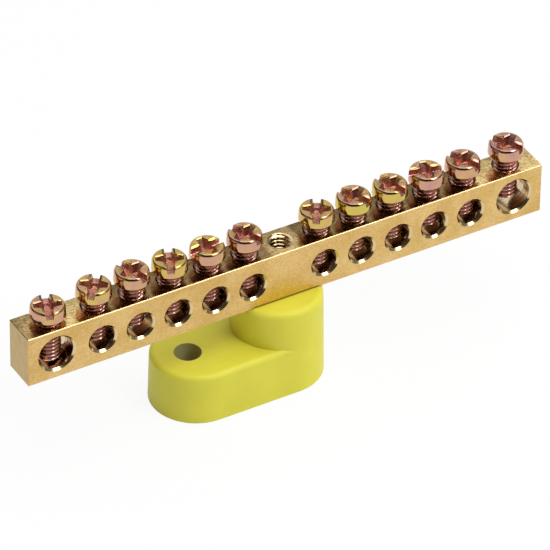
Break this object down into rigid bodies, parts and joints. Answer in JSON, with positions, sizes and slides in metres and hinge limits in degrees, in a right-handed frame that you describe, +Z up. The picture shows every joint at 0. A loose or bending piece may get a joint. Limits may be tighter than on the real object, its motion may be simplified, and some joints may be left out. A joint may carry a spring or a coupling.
{
  "type": "grounding busbar",
  "caption": "Brass grounding busbar with slotted clamping screws over cross bores for wires, fixed at its middle on a moulded insulator with a mounting foot.",
  "frame": {"origin": "under the middle of the bar, on the plane that the insulator's underside stands on", "axes": "+X along the bar, away from the insulator's foot; +Y to the back; +Z up"},
  "size_m": [0.0922, 0.0152, 0.0289],
  "materials": {
    "brass": "drawn bar, satin",
    "plated_steel": "zinc plate, yellow passivated",
    "insulator": "moulded, fine satin"
  },
  "bodies": {
    "busbar": {"brass_bar": "brass", "insulator_base": "insulator", "fixing_screw": "plated_steel"},
    "screw_01": {"terminal_screw_01": "plated_steel"},
    "screw_02": {"terminal_screw_02": "plated_steel"},
    "screw_03": {"terminal_screw_03": "plated_steel"},
    "screw_04": {"terminal_screw_04": "plated_steel"},
    "screw_05": {"terminal_screw_05": "plated_steel"},
    "screw_06": {"terminal_screw_06": "plated_steel"},
    "screw_07": {"terminal_screw_07": "plated_steel"},
    "screw_08": {"terminal_screw_08": "plated_steel"},
    "screw_09": {"terminal_screw_09": "plated_steel"},
    "screw_10": {"terminal_screw_10": "plated_steel"},
    "screw_11": {"terminal_screw_11": "plated_steel"},
    "screw_12": {"terminal_screw_12": "plated_steel"}
  },
  "joints": [
    {"name": "screw_01_travel", "type": "slide", "parent": "busbar", "child": "screw_01", "axis": [0, 0, 1], "range_m": [-0.00012, 0.0054]},
    {"name": "screw_02_travel", "type": "slide", "parent": "busbar", "child": "screw_02", "axis": [0, 0, 1], "range_m": [-0.00014, 0.00355]},
    {"name": "screw_03_travel", "type": "slide", "parent": "busbar", "child": "screw_03", "axis": [0, 0, 1], "range_m": [-0.00049, 0.0032]},
    {"name": "screw_04_travel", "type": "slide", "parent": "busbar", "child": "screw_04", "axis": [0, 0, 1], "range_m": [-0.00019, 0.0035]},
    {"name": "screw_05_travel", "type": "slide", "parent": "busbar", "child": "screw_05", "axis": [0, 0, 1], "range_m": [-0.00019, 0.0035]},
    {"name": "screw_06_travel", "type": "slide", "parent": "busbar", "child": "screw_06", "axis": [0, 0, 1], "range_m": [-0.00024, 0.00345]},
    {"name": "screw_07_travel", "type": "slide", "parent": "busbar", "child": "screw_07", "axis": [0, 0, 1], "range_m": [-0.00014, 0.00355]},
    {"name": "screw_08_travel", "type": "slide", "parent": "busbar", "child": "screw_08", "axis": [0, 0, 1], "range_m": [-0.00034, 0.00335]},
    {"name": "screw_09_travel", "type": "slide", "parent": "busbar", "child": "screw_09", "axis": [0, 0, 1], "range_m": [-0.00024, 0.00345]},
    {"name": "screw_10_travel", "type": "slide", "parent": "busbar", "child": "screw_10", "axis": [0, 0, 1], "range_m": [-0.00039, 0.0033]},
    {"name": "screw_11_travel", "type": "slide", "parent": "busbar", "child": "screw_11", "axis": [0, 0, 1], "range_m": [-0.00014, 0.00355]},
    {"name": "screw_12_travel", "type": "slide", "parent": "busbar", "child": "screw_12", "axis": [0, 0, 1], "range_m": [-0.00137, 0.00415]}
  ]
}
